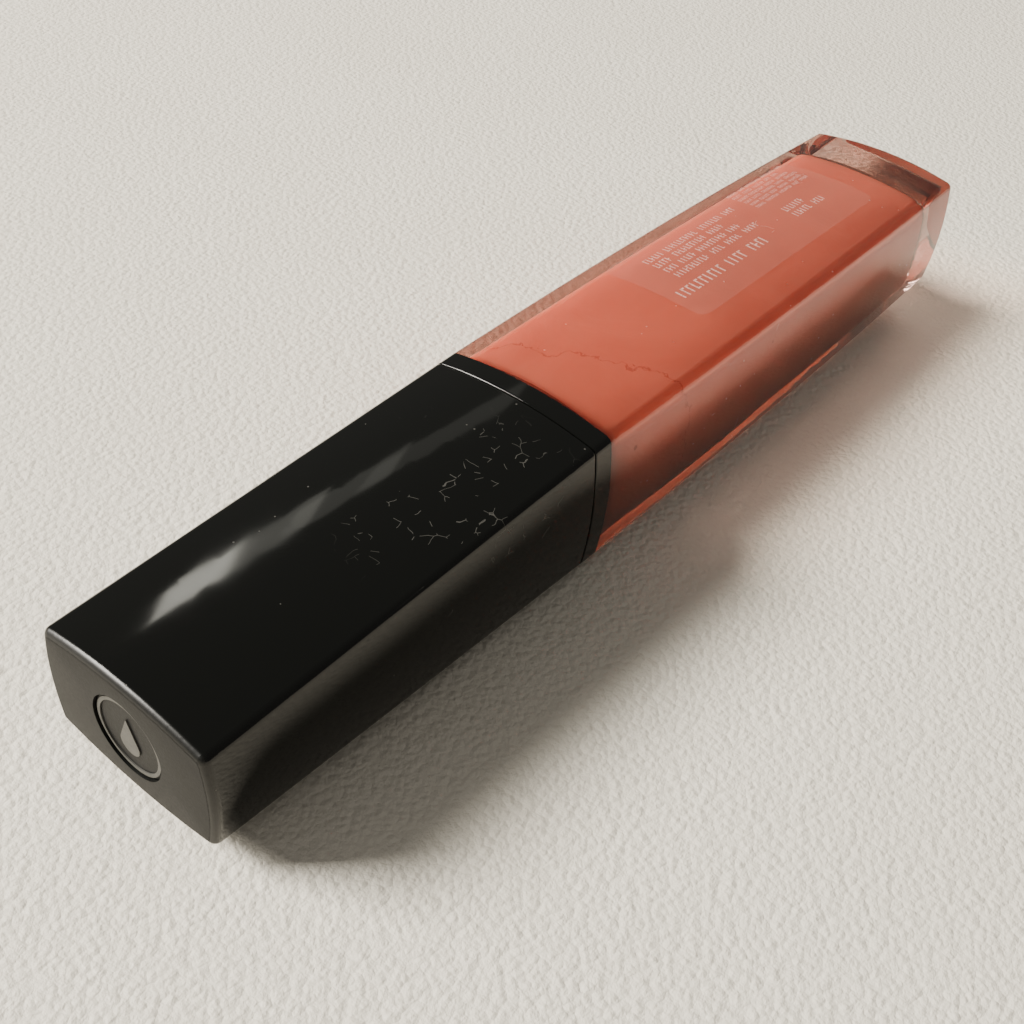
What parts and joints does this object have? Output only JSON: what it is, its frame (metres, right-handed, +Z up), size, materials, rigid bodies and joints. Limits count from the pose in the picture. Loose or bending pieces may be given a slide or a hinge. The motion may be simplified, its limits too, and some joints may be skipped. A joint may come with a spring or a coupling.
{
  "type": "lip gloss tube",
  "caption": "Slim crowned clear bottle of coral lip gloss with a black wedge screw cap, wiper and flocked wand applicator.",
  "frame": {"origin": "on the surface the tube lies on, under the middle of its overall length and width", "axes": "+X along the tube from the cap's closed end to the bottle's base, +Z up through the labelled broad face, +Y across the tube"},
  "size_m": [0.101, 0.0178, 0.0141],
  "materials": {
    "clear_plastic": "thick polished clear plastic",
    "black_gloss": "polished black plastic with light handling scratches",
    "coral_gloss": "coral pink lip gloss seen through the clear wall",
    "clear_film": "clear self-adhesive film with faint pale print lines",
    "milky_plastic": "soft milky polyethylene",
    "liner_plastic": "moulded black inner closure, satin",
    "black_satin": "satin black end plate",
    "silver_foil": "pale grey stamped foil",
    "stem_plastic": "black moulded wand stem",
    "flock": "short flocked pile stained with gloss"
  },
  "bodies": {
    "bottle": {"bottle": "clear_plastic", "bottle_collar": "black_gloss", "wiper": "milky_plastic", "gloss_fill": "coral_gloss", "label_film": "clear_film"},
    "seal": {"seal_ring": "milky_plastic"},
    "stem": {"wand_stem": "stem_plastic"},
    "cap": {"cap_shell": "black_gloss", "cap_liner": "liner_plastic", "emblem_disc": "black_satin", "emblem_ring": "silver_foil", "emblem_drop": "silver_foil", "applicator_nib": "stem_plastic", "applicator_flock": "flock"}
  },
  "joints": [
    {"name": "cap_pull", "type": "slide", "parent": "bottle", "child": "seal", "axis": [-1, 0, 0], "range_m": [0, 0.063]},
    {"name": "thread_lift", "type": "slide", "parent": "seal", "child": "stem", "axis": [-1, 0, 0], "range_m": [0, 0.0026]},
    {"name": "cap_unscrew", "type": "hinge", "parent": "stem", "child": "cap", "pos_m": [-0.03, 0, 0.007], "axis": [-1, 0, 0], "range_deg": [0, 450]}
  ],
  "couplings": [
    {"joint": "thread_lift", "follows": "cap_unscrew", "m_per_rad": 0.00031831}
  ]
}
